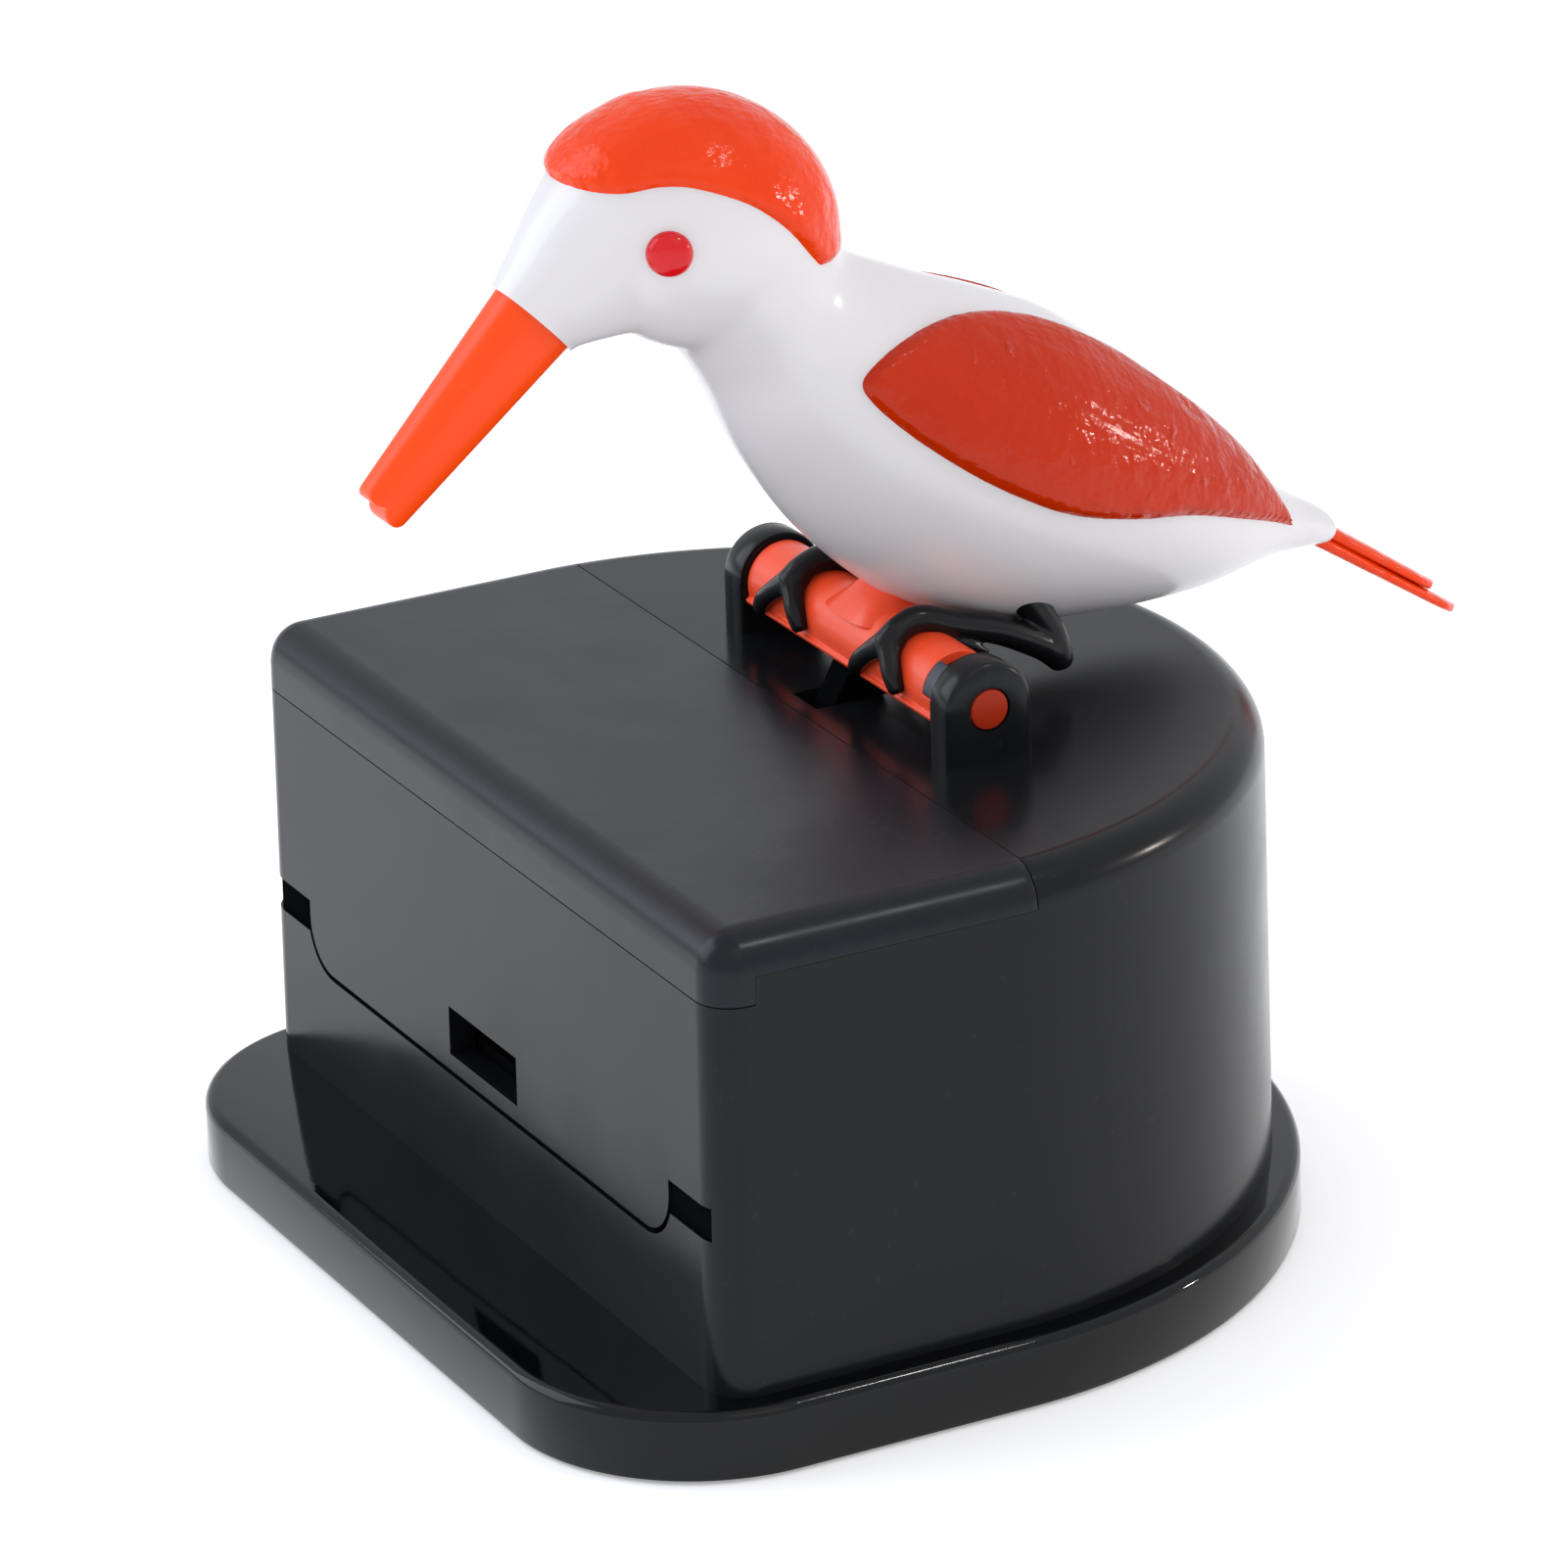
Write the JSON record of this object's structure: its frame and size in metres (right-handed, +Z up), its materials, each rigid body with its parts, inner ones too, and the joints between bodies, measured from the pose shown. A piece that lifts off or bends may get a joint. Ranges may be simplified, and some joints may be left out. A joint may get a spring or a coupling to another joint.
{
  "type": "bird toothpick dispenser",
  "caption": "Desk toy: a bird on a perch nods over a D-shaped cabinet to pick a toothpick at the front window; a crank under the deck drives a feed slide",
  "frame": {"origin": "on the table plane, under the centre of the cabinet's half-round rear", "axes": "+X sideways, -Y the cabinet's front, +Z up"},
  "size_m": [0.0852, 0.1008, 0.0952],
  "materials": {
    "black_gloss": "polished black ABS",
    "white_gloss": "glossy white styrene",
    "orange_gloss": "glossy orange plastic",
    "paint_red": "thick glossy orange-red paint, brushed on by hand",
    "eye_red": "glossy red bead",
    "inner_grey": "dark grey moulded plastic",
    "steel": "plated steel",
    "pad_rubber": "soft black pads"
  },
  "bodies": {
    "cabinet": {"base_plate": "black_gloss", "base_pads": "pad_rubber", "base_screws": "steel", "housing": "black_gloss", "lid": "black_gloss", "hopper": "inner_grey", "feed_track": "inner_grey", "post_left": "black_gloss", "post_right": "black_gloss", "stop_key": "inner_grey"},
    "bird": {"perch_tube": "orange_gloss", "saddle": "orange_gloss", "crank_arm": "inner_grey", "crank_pin": "steel", "return_spring": "steel", "leg_left": "black_gloss", "leg_right": "black_gloss", "body_left": "white_gloss", "body_right": "white_gloss", "beak": "orange_gloss", "eye_left": "eye_red", "eye_right": "eye_red", "cap": "paint_red", "wing_left": "paint_red", "wing_right": "paint_red", "tail_upper": "paint_red", "tail_lower": "paint_red"},
    "slide": {"feed_slide": "inner_grey"}
  },
  "joints": [
    {"name": "bird_nod", "type": "hinge", "parent": "cabinet", "child": "bird", "pos_m": [0, 0.0108, 0.0473], "axis": [1, 0, 0], "range_deg": [0, 57], "stiffness_Nm_per_rad": 0.012, "springref_deg": -51.57},
    {"name": "feed_travel", "type": "slide", "parent": "cabinet", "child": "slide", "axis": [0, 1, 0], "range_m": [0, 0.0116]}
  ],
  "couplings": [
    {"joint": "feed_travel", "follows": "bird_nod", "m_per_rad": 0.01151}
  ]
}
